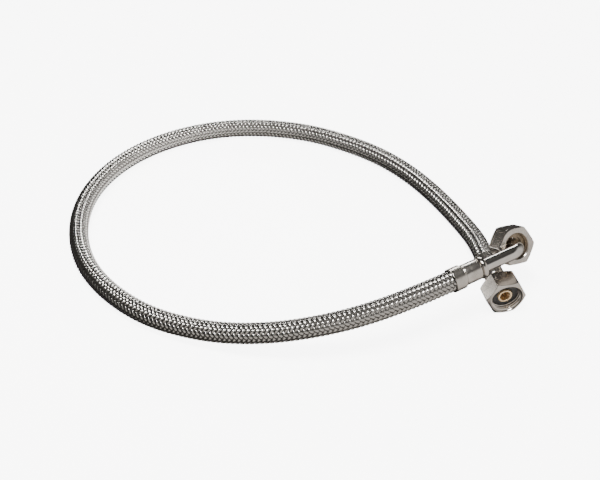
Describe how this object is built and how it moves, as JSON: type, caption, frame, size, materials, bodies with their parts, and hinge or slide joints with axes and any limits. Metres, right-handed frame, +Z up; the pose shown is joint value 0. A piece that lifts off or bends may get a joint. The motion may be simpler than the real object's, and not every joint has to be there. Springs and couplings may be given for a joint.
{
  "type": "braided supply line",
  "caption": "Flexible water supply line in a steel braid, lying in a loop: a swivel nut on a straight tail at one end and on a bent tube elbow at the other.",
  "frame": {"origin": "floor level, under the centre of the metal end fittings, which lie crossed at one side of the loop", "axes": "+Z up from the floor; -Y out of the straight end's nut; -X towards the far side of the loop"},
  "size_m": [0.3048, 0.2677, 0.0447],
  "materials": {
    "steel_braid": "woven bright stainless wire",
    "black_rubber": "matt extruded rubber",
    "nickel_plate": "polished nickel plate on brass",
    "stainless_sleeve": "bright drawn stainless steel",
    "bare_brass": "bare turned brass",
    "washer_rubber": "flat fibre-filled rubber"
  },
  "bodies": {
    "hose_line": {"braid_sleeve": "steel_braid", "inner_hose": "black_rubber", "straight_ferrule": "stainless_sleeve", "straight_tail": "nickel_plate", "elbow_ferrule": "stainless_sleeve", "elbow_tail": "nickel_plate", "elbow_tube": "nickel_plate", "elbow_flange": "bare_brass"},
    "straight_swivel": {"straight_slip_ring": "bare_brass"},
    "straight_union": {"straight_nut": "nickel_plate"},
    "straight_seal": {"straight_washer": "washer_rubber"},
    "elbow_swivel": {"elbow_slip_ring": "bare_brass"},
    "elbow_union": {"elbow_nut": "nickel_plate"},
    "elbow_seal": {"elbow_washer": "washer_rubber"}
  },
  "joints": [
    {"name": "straight_nut_slide", "type": "slide", "parent": "hose_line", "child": "straight_swivel", "axis": [0, -1, 0], "range_m": [-0.004, 0]},
    {"name": "straight_nut_spin", "type": "hinge", "parent": "straight_swivel", "child": "straight_union", "pos_m": [0.0073, -0.0196, 0.012], "axis": [0, -1, 0], "continuous": true},
    {"name": "straight_washer_slide", "type": "slide", "parent": "hose_line", "child": "straight_seal", "axis": [0, -1, 0], "range_m": [0, 0.008]},
    {"name": "elbow_nut_slide", "type": "slide", "parent": "hose_line", "child": "elbow_swivel", "axis": [-0.2024, 0.8556, -0.4765], "range_m": [-0.0025, 0]},
    {"name": "elbow_nut_spin", "type": "hinge", "parent": "elbow_swivel", "child": "elbow_union", "pos_m": [0.01795, 0.01822, 0.02712], "axis": [-0.2024, 0.8556, -0.4765], "continuous": true},
    {"name": "elbow_washer_slide", "type": "slide", "parent": "hose_line", "child": "elbow_seal", "axis": [-0.2024, 0.8556, -0.4765], "range_m": [0, 0.008]}
  ]
}
